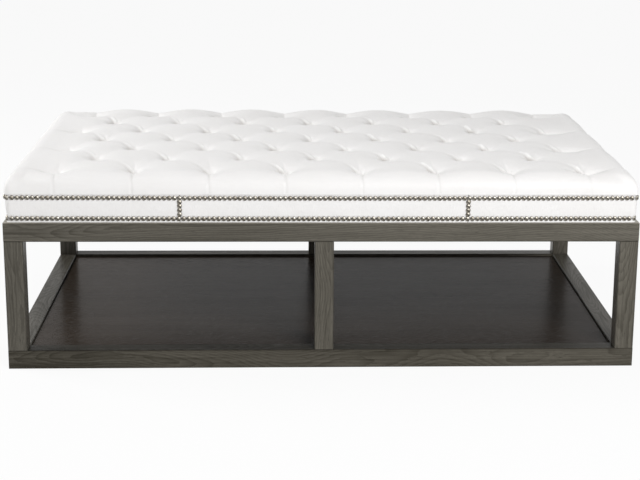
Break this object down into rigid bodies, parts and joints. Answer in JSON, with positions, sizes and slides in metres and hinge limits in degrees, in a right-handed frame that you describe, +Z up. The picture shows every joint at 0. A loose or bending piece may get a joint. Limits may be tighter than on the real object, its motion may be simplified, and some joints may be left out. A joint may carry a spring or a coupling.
{
  "type": "ottoman coffee table",
  "caption": "Rectangular ottoman coffee table: square-stock oak frame with centre legs and a recessed shelf, under a diamond-tufted white leather top with nail trim.",
  "frame": {"origin": "on the floor, at the centre of the footprint", "axes": "+X to the right along the length, +Y to the back, +Z up"},
  "size_m": [1.524, 0.96, 0.489],
  "materials": {
    "oak_frame": "grey-brown stained oak, open grain, satin",
    "shelf": "dark stained veneer, semi-gloss lacquer",
    "softwood": "bare planed softwood",
    "plywood": "bare plywood",
    "leather": "white leather, satin",
    "foam": "upholstery foam",
    "cambric": "black woven dust cloth",
    "twine": "waxed upholstery twine",
    "washer_plastic": "moulded plastic",
    "zinc_steel": "zinc plated"
  },
  "bodies": {
    "root": {"band_back": "leather", "band_front": "leather", "band_left": "leather", "band_right": "leather", "bottom_rail_back": "oak_frame", "bottom_rail_front": "oak_frame", "bottom_rail_left": "oak_frame", "bottom_rail_right": "oak_frame", "deck_panel": "plywood", "dust_cover": "cambric", "foam_slab": "foam", "frame_corner_blocks": "softwood", "leg_back_centre": "oak_frame", "leg_back_left": "oak_frame", "leg_back_right": "oak_frame", "leg_front_centre": "oak_frame", "leg_front_left": "oak_frame", "leg_front_right": "oak_frame", "platform_screws": "zinc_steel", "seat_bearer_back": "softwood", "seat_bearer_front": "softwood", "seat_corner_posts": "softwood", "seat_rail_back": "softwood", "seat_rail_front": "softwood", "seat_rail_left": "softwood", "seat_rail_right": "softwood", "shelf_bearer": "softwood", "shelf_cleats": "softwood", "shelf_panel": "shelf", "top_cross_rail": "softwood", "top_rail_back": "oak_frame", "top_rail_front": "oak_frame", "top_rail_left": "oak_frame", "top_rail_right": "oak_frame", "tuft_ties": "twine", "tuft_washers": "washer_plastic", "tufted_cover": "leather"}
  },
  "joints": []
}
